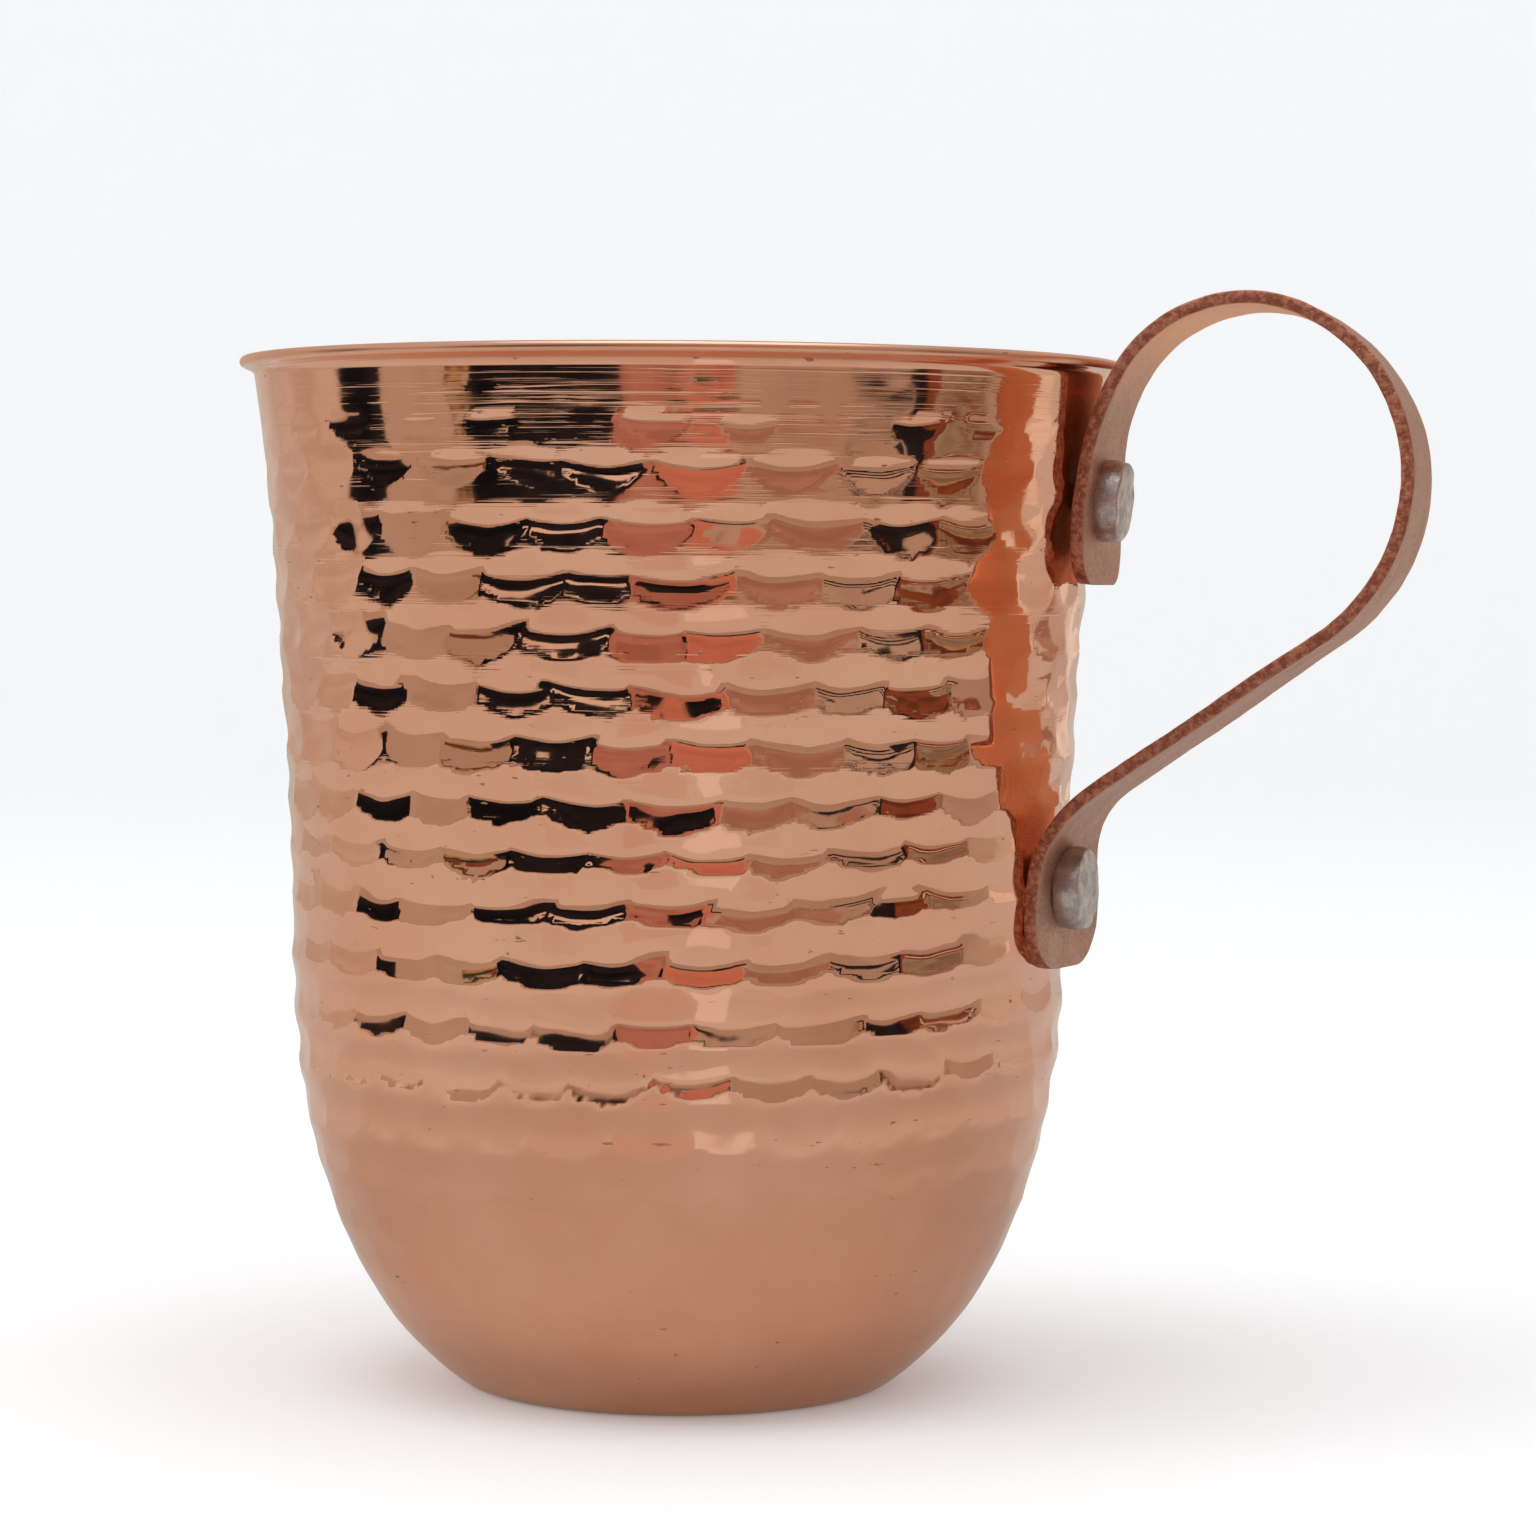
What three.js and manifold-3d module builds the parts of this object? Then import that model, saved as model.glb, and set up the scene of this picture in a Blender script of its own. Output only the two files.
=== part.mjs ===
// A hammered copper mug: one spun copper cup, one bent copper strap for a handle, and the two
// aluminium rivets that hold the strap to the cup.
//
// Millimetres, +Z up. The origin is the centre of the flat base, on the surface that the mug
// stands on, and the handle stands out along +X.

import * as THREE from 'three';
import { mergeVertices } from 'three/addons/utils/BufferGeometryUtils.js';
import Module from 'manifold-3d';

const wasm = await Module();
wasm.setup();

// ---------------------------------------------------------------- driving dimensions

const cupHeight = 104.5;
const rimRadius = 45; // outside of the flared lip
const bellyRadius = 39.63; // outside, where the bowl turns into the nearly upright wall
const bellyHeight = 47.4;
const shoulderRadius = 42.85; // outside, just under the lip
const shoulderHeight = 98;
const neckRise = 4.7; // straight stretch above the shoulder, up to where the lip flares
const neckSpread = 0.65; // how much wider the cup gets over it
const footRadius = 20.4; // flat part of the base
const heelRadius = 3; // bend between the base and the bowl
const heelAngle = THREE.MathUtils.degToRad(35);
const wall = 1.1; // copper sheet

const strapWidth = 16.5;
const strapThickness = 1.3;
const upperRivetHeight = 90.7;
const lowerRivetHeight = 52;
const upperTab = 8.4; // from the upper rivet to the strap's upper end
const lowerTab = 8;
const upperCorner = 4; // corner radius of each end of the strap
const lowerCorner = 5.5;
const riseAboveRivet = 2; // straight run before the first bend
const strapBends = [
  { radius: 30, angle: THREE.MathUtils.degToRad(18.6) }, // leaves the wall
  { radius: 14, angle: THREE.MathUtils.degToRad(94) }, // over the top of the loop
  { radius: 18.5, angle: THREE.MathUtils.degToRad(117) }, // round the back of the loop
];
const returnRadius = 10.6; // reverse bend that lays the lower end against the wall
const strapSkew = THREE.MathUtils.degToRad(1.85); // each rivet is this far round from +X

const shankRadius = 2;
const headHeight = 2.4; // hammered outer head
const headWaist = 3.95; // its radius against the strap
const headBulge = 4.2;
const headFace = 3.45;
const innerHeadRadius = 4.2;
const innerHeadHeight = 1.3;

const gap = 0.3; // between pieces that touch
const outerSeatGap = 0.4; // under the outer heads, where the strap starts to bend away
const innerSeatGap = 0.55; // the inner head is flat and the wall behind it is curved
const lathingSteps = 56;
const strapStep = 1.6;

// ---------------------------------------------------------------- shared helpers

// A closed mesh with merged corners, as a solid that can be cut.
function toSolid(geometry) {
  const bare = geometry.clone();
  bare.deleteAttribute('normal');
  bare.deleteAttribute('uv');
  const merged = mergeVertices(bare, 1e-4);
  const corners = [];
  for (let i = 0; i < merged.index.count; i += 3) {
    const [a, b, c] = [0, 1, 2].map((k) => merged.index.getX(i + k));
    if (a !== b && b !== c && c !== a) corners.push(a, b, c);
  }
  const mesh = new wasm.Mesh({
    numProp: 3,
    vertProperties: merged.attributes.position.array,
    triVerts: new Uint32Array(corners),
  });
  return new wasm.Manifold(mesh);
}

function toGeometry(solid) {
  const mesh = solid.getMesh();
  const geometry = new THREE.BufferGeometry();
  geometry.setAttribute('position', new THREE.BufferAttribute(mesh.vertProperties, 3));
  geometry.setIndex(new THREE.BufferAttribute(mesh.triVerts, 1));
  geometry.computeVertexNormals();
  return geometry;
}

// Moves every corner of a geometry to where place(x, y, z) says.
function remap(geometry, place) {
  const position = geometry.attributes.position;
  for (let i = 0; i < position.count; i += 1) {
    const moved = place(position.getX(i), position.getY(i), position.getZ(i));
    position.setXYZ(i, moved.x, moved.y, moved.z);
  }
  return geometry;
}

function copper(color, roughness) {
  return new THREE.MeshStandardMaterial({ color, roughness, metalness: 1 });
}

// ---------------------------------------------------------------- cup outline

// The middle of the copper sheet, from the centre of the base to the lip. x is the radius and
// y the height.
function cupMidline() {
  const half = wall / 2;
  const foot = new THREE.Vector2(footRadius, half);
  const heelCentre = foot.y + heelRadius;
  const heel = new THREE.EllipseCurve(
    foot.x, heelCentre, heelRadius, heelRadius, -Math.PI / 2, -Math.PI / 2 + heelAngle,
  );
  const bowlStart = heel.getPoint(1);
  const bowlDirection = heel.getTangent(1);
  const belly = new THREE.Vector2(bellyRadius - half, bellyHeight);
  const shoulder = new THREE.Vector2(shoulderRadius - half, shoulderHeight);
  const neck = new THREE.Vector2(shoulder.x + neckSpread, shoulder.y + neckRise);
  const lip = new THREE.Vector2(rimRadius - half, cupHeight - half);
  return [
    { curve: new THREE.LineCurve(new THREE.Vector2(0, half), foot), steps: 1 },
    { curve: heel, steps: 3 },
    {
      curve: new THREE.CubicBezierCurve(
        bowlStart,
        bowlStart.clone().addScaledVector(bowlDirection, 12),
        new THREE.Vector2(belly.x, belly.y - 23.4),
        belly,
      ),
      steps: 8,
    },
    {
      curve: new THREE.CubicBezierCurve(
        belly,
        new THREE.Vector2(belly.x, belly.y + 17.6),
        new THREE.Vector2(shoulder.x - 0.7, shoulder.y - 5),
        shoulder,
      ),
      steps: 5,
    },
    { curve: new THREE.LineCurve(shoulder, neck), steps: 1 },
    {
      curve: new THREE.CubicBezierCurve(
        neck,
        new THREE.Vector2(neck.x + 0.1, neck.y + 0.7),
        new THREE.Vector2(lip.x - 0.7, lip.y - 0.28),
        lip,
      ),
      steps: 4,
    },
  ];
}

// One face of the sheet: side is 1 for the outside and -1 for the inside.
function cupSide(side) {
  const points = [new THREE.Vector2(0, wall / 2 - side * wall / 2)];
  for (const { curve, steps } of cupMidline()) {
    for (let i = 1; i <= steps; i += 1) {
      const tangent = curve.getTangent(i / steps);
      const outward = new THREE.Vector2(tangent.y, -tangent.x);
      points.push(curve.getPoint(i / steps).addScaledVector(outward, side * wall / 2));
    }
  }
  return points;
}

const cupOutside = cupSide(1);

// The outer surface of the cup at a height: its radius, and how far it leans outwards.
function wallAt(height) {
  const i = cupOutside.findIndex((point) => point.y > height);
  const below = cupOutside[i - 1];
  const above = cupOutside[i];
  const share = (height - below.y) / (above.y - below.y);
  const lean = Math.atan2(above.x - below.x, above.y - below.y);
  return { radius: THREE.MathUtils.lerp(below.x, above.x, share), lean };
}

// ---------------------------------------------------------------- placing the handle

const middleHeight = (upperRivetHeight + lowerRivetHeight) / 2;

// The handle's plane is turned a little about Z, more so the further it is from mid height.
function skewAt(height) {
  return strapSkew * (height - middleHeight) / (upperRivetHeight - middleHeight);
}

function inHandlePlane(reach, across, height) {
  const place = new THREE.Vector3(reach, across, height);
  return place.applyAxisAngle(new THREE.Vector3(0, 0, 1), skewAt(height));
}

// A rivet's axis: a point on the cup's outer face, and the direction straight out of it.
function rivetAxis(height) {
  const { radius, lean } = wallAt(height);
  const seat = new THREE.Vector3(radius, 0, height);
  const outward = new THREE.Vector3(Math.cos(lean), 0, -Math.sin(lean));
  const upright = new THREE.Vector3(0, 0, 1);
  seat.applyAxisAngle(upright, skewAt(height));
  outward.applyAxisAngle(upright, skewAt(height));
  return { seat, outward };
}

// Puts a piece that is modelled along +Y, with y = 0 at the cup's outer face, on a rivet's axis.
function rivetMatrix(height) {
  const { seat, outward } = rivetAxis(height);
  const turn = new THREE.Quaternion().setFromUnitVectors(new THREE.Vector3(0, 1, 0), outward);
  return new THREE.Matrix4().compose(seat, turn, new THREE.Vector3(1, 1, 1));
}

function rivetDrill(height) {
  const drill = new THREE.CylinderGeometry(shankRadius + gap, shankRadius + gap, 12, 24);
  return toSolid(drill.applyMatrix4(rivetMatrix(height)));
}

// ---------------------------------------------------------------- strap centreline

// The strap's middle at a rivet, in the handle's plane: x is the reach from the mug's axis and
// y the height. along is the way up the wall.
function strapAtRivet(height) {
  const { radius, lean } = wallAt(height);
  const stand = gap + strapThickness / 2;
  return {
    point: new THREE.Vector2(radius + stand * Math.cos(lean), height - stand * Math.sin(lean)),
    along: Math.PI / 2 - lean,
  };
}

const direction = (heading) => new THREE.Vector2(Math.cos(heading), Math.sin(heading));

// The end of a run that starts at a point and a heading. turn is 0 on a straight run, positive
// to the left and negative to the right.
function walk(start, heading, length, turn) {
  if (turn === 0) return start.clone().addScaledVector(direction(heading), length);
  const radius = length / turn;
  const left = new THREE.Vector2(-Math.sin(heading), Math.cos(heading));
  const centre = start.clone().addScaledVector(left, radius);
  return start.clone().rotateAround(centre, turn);
}

// The strap as a chain of straight runs and bends, from its upper end to its lower end. The
// diagonal run's length is what makes the lower end lie on the wall.
function strapRuns() {
  const upper = strapAtRivet(upperRivetHeight);
  const lower = strapAtRivet(lowerRivetHeight);
  const runs = [];
  let point = upper.point.clone().addScaledVector(direction(upper.along), -upperTab);
  let heading = upper.along;
  const add = (length, turn) => {
    runs.push({ start: point, heading, length, turn });
    point = walk(point, heading, length, turn);
    heading += turn;
  };
  add(upperTab + riseAboveRivet, 0);
  for (const { radius, angle } of strapBends) add(radius * angle, -angle);

  const downWall = lower.along - Math.PI;
  const returnTurn = downWall - heading;
  const returnEnd = walk(new THREE.Vector2(), heading, returnRadius * returnTurn, returnTurn);
  const toGo = lower.point.clone().sub(point).sub(returnEnd);
  const [run, tab] = [direction(heading), direction(downWall)];
  const spread = run.cross(tab);
  const diagonal = toGo.cross(tab) / spread;
  const tabAboveRivet = run.cross(toGo) / spread;
  add(diagonal, 0);
  add(returnRadius * returnTurn, returnTurn);
  add(tabAboveRivet + lowerTab, 0);
  return runs;
}

const runs = strapRuns();
const strapLength = runs.reduce((sum, run) => sum + run.length, 0);

// Bends a flat strip into the handle: along runs from the upper end, across is the width, and
// out is the distance from the strip's middle, away from the inside of the loop.
function bendStrap(along, across, out) {
  let rest = along;
  let i = 0;
  while (i < runs.length - 1 && rest > runs[i].length) {
    rest -= runs[i].length;
    i += 1;
  }
  const { start, heading, length, turn } = runs[i];
  const turned = turn * rest / length;
  const point = walk(start, heading, rest, turned);
  const outward = direction(heading + turned + Math.PI / 2);
  point.addScaledVector(outward, out);
  return inHandlePlane(point.x, across, point.y);
}

// What rounds one corner of the flat strip: a square corner less its quarter circle. The
// corner is at (end, side * half width), and inwards is 1 at the upper end and -1 at the lower.
function cornerCutter(end, inwards, side, radius) {
  const over = 1; // how far the cutter stands past the strip
  const edge = side * strapWidth / 2;
  const shape = new THREE.Shape();
  shape.moveTo(end + inwards * radius, edge);
  const steps = 6;
  for (let i = 1; i <= steps; i += 1) {
    const angle = i / steps * Math.PI / 2;
    const along = end + inwards * radius * (1 - Math.sin(angle));
    shape.lineTo(along, edge - side * radius * (1 - Math.cos(angle)));
  }
  shape.lineTo(end - inwards * over, edge - side * radius);
  shape.lineTo(end - inwards * over, edge + side * over);
  shape.lineTo(end + inwards * radius, edge + side * over);
  const depth = strapThickness + 2 * over;
  const block = new THREE.ExtrudeGeometry(shape, { depth, bevelEnabled: false });
  block.translate(0, 0, -depth / 2);
  return toSolid(remap(block, bendStrap));
}

// ---------------------------------------------------------------- pieces

function makeCup() {
  const half = wall / 2;
  const lip = new THREE.Vector2(rimRadius - half, cupHeight - half);
  const inside = cupSide(-1).reverse();
  const lastOutside = cupOutside[cupOutside.length - 1];
  const fromAngle = Math.atan2(lastOutside.y - lip.y, lastOutside.x - lip.x);
  const rolledEdge = [];
  const edgeSteps = 5;
  for (let i = 1; i < edgeSteps; i += 1) {
    const angle = fromAngle + Math.PI * i / edgeSteps;
    rolledEdge.push(lip.clone().addScaledVector(direction(angle), half));
  }
  const shell = new THREE.LatheGeometry([...cupOutside, ...rolledEdge, ...inside], lathingSteps);
  shell.rotateX(Math.PI / 2);
  const drilled = toSolid(shell)
    .subtract(rivetDrill(upperRivetHeight))
    .subtract(rivetDrill(lowerRivetHeight));
  const mesh = new THREE.Mesh(toGeometry(drilled), copper(0xd98e6c, 0.18));
  mesh.name = 'cup_body';
  return mesh;
}

function makeStrap() {
  const strip = new THREE.BoxGeometry(
    strapLength, strapWidth, strapThickness, Math.round(strapLength / strapStep), 2, 1,
  );
  strip.translate(strapLength / 2, 0, 0);
  let strap = toSolid(remap(strip, bendStrap));
  for (const side of [-1, 1]) {
    strap = strap.subtract(cornerCutter(0, 1, side, upperCorner));
    strap = strap.subtract(cornerCutter(strapLength, -1, side, lowerCorner));
  }
  strap = strap.subtract(rivetDrill(upperRivetHeight)).subtract(rivetDrill(lowerRivetHeight));
  const mesh = new THREE.Mesh(toGeometry(strap), copper(0xb5806a, 0.5));
  mesh.name = 'handle_strap';
  return mesh;
}

// A solid rivet: the factory head inside the cup, the shank, and the hammered outer head.
function makeRivet(name, height) {
  const headStart = gap + strapThickness + outerSeatGap;
  const headEnd = headStart + headHeight;
  const innerStart = -wall - innerSeatGap;
  const innerEnd = innerStart - innerHeadHeight;
  const outline = [
    [0, innerEnd],
    [innerHeadRadius * 0.6, innerEnd + innerHeadHeight * 0.12],
    [innerHeadRadius * 0.9, innerEnd + innerHeadHeight * 0.45],
    [innerHeadRadius, innerStart],
    [shankRadius, innerStart],
    [shankRadius, headStart],
    [headWaist, headStart],
    [headBulge, headStart + headHeight * 0.4],
    [headBulge * 0.95, headStart + headHeight * 0.75],
    [headFace, headEnd],
    [0, headEnd],
  ];
  const points = outline.map(([radius, along]) => new THREE.Vector2(radius, along));
  const material = new THREE.MeshStandardMaterial({
    color: 0xa6a2a4, roughness: 0.42, metalness: 1,
  });
  const mesh = new THREE.Mesh(new THREE.LatheGeometry(points, 24), material);
  mesh.applyMatrix4(rivetMatrix(height));
  mesh.name = name;
  return mesh;
}

const mug = new THREE.Group();
mug.add(makeCup());
mug.add(makeStrap());
mug.add(makeRivet('upper_rivet', upperRivetHeight));
mug.add(makeRivet('lower_rivet', lowerRivetHeight));

export default mug;
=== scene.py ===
"""The looks of a hammered copper mug: a spun cup with struck dimples, a bent strap handle, two rivets.

Lengths are millimetres while a shape is worked out, and metres once it is in a mesh. The frame's
origin is the centre of the flat base, +Z is up, and the handle stands out along +X.
"""

import math

import bpy
import numpy as np
from mathutils import Matrix, Vector, noise


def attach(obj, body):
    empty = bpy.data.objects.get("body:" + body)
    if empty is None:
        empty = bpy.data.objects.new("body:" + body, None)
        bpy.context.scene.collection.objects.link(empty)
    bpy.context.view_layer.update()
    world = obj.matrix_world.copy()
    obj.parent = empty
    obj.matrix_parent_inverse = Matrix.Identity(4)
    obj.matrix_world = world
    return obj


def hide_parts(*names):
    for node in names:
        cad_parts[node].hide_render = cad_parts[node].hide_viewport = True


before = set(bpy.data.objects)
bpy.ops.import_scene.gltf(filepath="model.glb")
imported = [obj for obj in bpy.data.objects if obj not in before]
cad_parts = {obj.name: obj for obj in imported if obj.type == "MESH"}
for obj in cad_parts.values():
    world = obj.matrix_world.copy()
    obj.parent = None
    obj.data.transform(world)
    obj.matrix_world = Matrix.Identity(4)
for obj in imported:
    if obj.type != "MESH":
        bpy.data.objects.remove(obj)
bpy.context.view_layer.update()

MM = 0.001
SEED = 11

# ---- driving dimensions, as in the CAD part

CUP_HEIGHT = 104.5
RIM_RADIUS = 45.0
BELLY_RADIUS, BELLY_HEIGHT = 39.63, 47.4
SHOULDER_RADIUS, SHOULDER_HEIGHT = 42.85, 98.0
NECK_RISE, NECK_SPREAD = 4.7, 0.65
FOOT_RADIUS = 20.4
HEEL_RADIUS, HEEL_ANGLE = 3.0, math.radians(35)
WALL = 1.1

STRAP_WIDTH, STRAP_THICKNESS = 16.5, 1.3
UPPER_RIVET_HEIGHT, LOWER_RIVET_HEIGHT = 90.7, 52.0
UPPER_TAB, LOWER_TAB = 8.4, 8.0
UPPER_CORNER, LOWER_CORNER = 4.0, 5.5
RISE_ABOVE_RIVET = 2.0
STRAP_BENDS = [(30.0, math.radians(18.6)), (14.0, math.radians(94)), (18.5, math.radians(117))]
RETURN_RADIUS = 10.6
STRAP_SKEW = math.radians(1.85)
CAD_GAP = 0.3

# ---- mesh helpers


def make_piece(name, vertices, faces, material, slot, nodes, sharp_angle, attributes=(), normals=None):
    """A smooth mesh in the row frame that rides on the root body and stands for its CAD nodes.

    Bends sharper than sharp_angle stay crisp, unless the mesh comes with its own normals.
    """
    mesh = bpy.data.meshes.new(name)
    mesh.from_pydata((np.asarray(vertices) * MM).tolist(), [], faces)
    mesh.polygons.foreach_set("use_smooth", [True] * len(mesh.polygons))
    for label, values in attributes:
        layer = mesh.attributes.new(label, "FLOAT", "POINT")
        layer.data.foreach_set("value", np.asarray(values, np.float32))
    mesh.materials.append(material)
    mesh.validate()
    if normals is None:
        mesh.set_sharp_from_angle(angle=sharp_angle)
    else:
        mesh.normals_split_custom_set_from_vertices(normals.tolist())
    piece = bpy.data.objects.new(name, mesh)
    bpy.context.scene.collection.objects.link(piece)
    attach(piece, "root")
    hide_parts(*nodes)


def full_circle(columns):
    return np.arange(columns) * 2 * math.pi / columns


def place_round(radius, turn, height):
    return radius * math.cos(turn), radius * math.sin(turn), height


def tube_faces(rings, columns):
    """Four-sided faces between neighbouring rings of vertices."""
    faces = []
    for first in range(0, (rings - 1) * columns, columns):
        for k in range(columns):
            a, b = first + k, first + (k + 1) % columns
            faces.append((a, b, b + columns, a + columns))
    return faces


def smoothstep(low, high, value):
    share = np.clip((value - low) / (high - low), 0, 1)
    return share * share * (3 - 2 * share)


# ---- cup outline

CURVE_STEPS, HEEL_STEPS = 400, 30
HEEL_PULL = 12  # how far the bowl's curve goes on in the heel's direction
BELLY_PULL_DOWN, BELLY_PULL_UP = 23.4, 17.6
SHOULDER_PULL, NECK_PULL, LIP_PULL = (0.7, 5), (0.1, 0.7), (0.7, 0.28)


def bezier(p0, p1, p2, p3):
    """Points and unit tangents of a cubic curve in (radius, height)."""
    t = np.linspace(0, 1, CURVE_STEPS + 1)[:, None]
    points = (1 - t) ** 3 * p0 + 3 * (1 - t) ** 2 * t * p1 + 3 * (1 - t) * t**2 * p2 + t**3 * p3
    slopes = (1 - t) ** 2 * (p1 - p0) + 2 * (1 - t) * t * (p2 - p1) + t**2 * (p3 - p2)
    return points, slopes / np.linalg.norm(slopes, axis=1)[:, None]


def sheet_midline():
    """The middle of the copper sheet from the centre of the base to the lip, with its tangents."""
    half = WALL / 2
    base = np.array([[0, half], [FOOT_RADIUS, half]])
    turn = np.linspace(0, HEEL_ANGLE, HEEL_STEPS)
    heel_out, heel_up = HEEL_RADIUS * np.sin(turn), HEEL_RADIUS * (1 - np.cos(turn))
    heel = np.stack([FOOT_RADIUS + heel_out, half + heel_up], 1)
    start = heel[-1]
    rise = np.array([math.cos(HEEL_ANGLE), math.sin(HEEL_ANGLE)])
    belly = np.array([BELLY_RADIUS - half, BELLY_HEIGHT])
    shoulder = np.array([SHOULDER_RADIUS - half, SHOULDER_HEIGHT])
    neck = shoulder + [NECK_SPREAD, NECK_RISE]
    straight = neck - shoulder
    lip = np.array([RIM_RADIUS - half, CUP_HEIGHT - half])
    parts = [
        (base, np.array([[1.0, 0], [1, 0]])),
        (heel, np.stack([np.cos(turn), np.sin(turn)], 1)),
        bezier(start, start + HEEL_PULL * rise, belly - [0, BELLY_PULL_DOWN], belly),
        bezier(belly, belly + [0, BELLY_PULL_UP], shoulder - SHOULDER_PULL, shoulder),
        (np.stack([shoulder, neck]), np.stack([straight, straight]) / np.linalg.norm(straight)),
        bezier(neck, neck + NECK_PULL, lip - LIP_PULL, lip),
    ]
    points = np.concatenate([parts[0][0]] + [p[1:] for p, _ in parts[1:]])
    tangents = np.concatenate([parts[0][1]] + [t[1:] for _, t in parts[1:]])
    return points, tangents


class Side:
    """One face of the sheet, outside (1) or inside (-1), by the distance along it from the axis."""

    def __init__(self, side):
        points, tangents = sheet_midline()
        self.normals = np.stack([tangents[:, 1], -tangents[:, 0]], 1)
        self.points = points + side * WALL / 2 * self.normals
        steps = np.linalg.norm(np.diff(self.points, axis=0), axis=1)
        self.distance = np.concatenate([[0], np.cumsum(steps)])
        self.length = self.distance[-1]

    def radius(self, along):
        return np.interp(along, self.distance, self.points[:, 0])

    def height(self, along):
        return np.interp(along, self.distance, self.points[:, 1])

    def normal(self, along):
        outward = np.interp(along, self.distance, self.normals[:, 0])
        upward = np.interp(along, self.distance, self.normals[:, 1])
        return outward, upward

    def at_height(self, height):
        return np.interp(height, self.points[2:, 1], self.distance[2:])


outside, inside = Side(1), Side(-1)


def wall_at(height):
    """The cup's outer face at a height: its radius, and how far it leans outwards."""
    along = outside.at_height(height)
    outward, upward = outside.normal(along)
    return float(outside.radius(along)), math.atan2(-float(upward), float(outward))


# ---- hammer blows

BLOWS_ROUND = 32  # blows in one turn of the cup
ROW_PITCH = 5.23
FIRST_ROW_HEIGHT = 30.05  # row 0, at the top of the bowl; the lower rows are only faint
ROWS_BELOW, ROWS_ABOVE = 5, 14

# What changes from row to row, as the rows and the values there: a print's depth, the share of its
# relief that is kept, its lean up the wall, and its curve up the wall against the usual.
DEPTHS = [-5, -2, 0, 8, 10, 11, 12, 13], [0.2, 0.35, 0.45, 0.43, 0.32, 0.27, 0.2, 0.11]
FORCES = [-5, -1, 1, 2, 3, 4, 5, 6, 8], [0.22, 0.5, 1.02, 0.72, 0.62, 0.8, 0.85, 0.9, 1]
LEANS = [1, 2, 3, 4, 5, 6, 7, 8, 10], [0, 0.01, 0.095, 0.08, 0.025, 0, 0.04, 0.02, 0]
ROUNDINGS = [-3, 1, 2, 5], [1, 2.4, 2.4, 1]

TOP_ROW_DROP = 1.0  # the topmost row, a faint one, is set closer to the one below it
TOP_ROW_MISSING = 0.12  # share of its blows
ROW_PHASE = math.radians(-72.1)  # where a blow of the middle row is centred
ROW_DRIFT = math.radians(0.55)  # how much further round each row starts
MIDDLE_ROW = 8

# How unevenly the smith strikes.
ANGLE_SPREAD, ALONG_SPREAD = 0.0065, 0.16
WEAKEST, STRONGEST = 0.86, 1.12
SIDE_TILT_SPREAD, UP_TILT_SPREAD, TWIST_SPREAD = 0.011, 0.014, 0.0035

# A print's shape, per millimetre. Round the cup it curves more below its middle and less above, and
# more where the cup is narrower; up the wall it is a rounded V.
SIDE_CURVE, SIDE_CURVE_CHANGE = 0.0245, 0.0145
UP_SLOPE, UP_BEND, UP_CURVE = 0.09, 0.6, 0.032
TAPER_RADIUS, TAPER_LEAST, TAPER_POWER = 40, 12, 1.6

RIDGE_WIDTH = 0.5  # over which one print runs into the next
LEAST_RIDGE = 0.02  # the smallest change of slope that counts as a ridge
SWELL = 0.2  # where every bit is struck, the metal between the prints is raised
SWELL_ENDS = 7, 12  # the rows over which that fades out
HOLLOW_DEPTH, HOLLOW_HEIGHT, HOLLOW_REACH = 0.19, 42.0, 6.0  # a faint waist above the bowl
HANDLE_LIFT, HANDLE_LIFT_REACH = 1.8, 0.75  # the lower rows rise a little towards the handle
HANDLE_LIFT_ENDS = 2, 9  # the rows over which that fades out


def half_turn(angle):
    """The same angle, between half a turn back and half a turn on."""
    return (angle + math.pi) % (2 * math.pi) - math.pi


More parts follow.
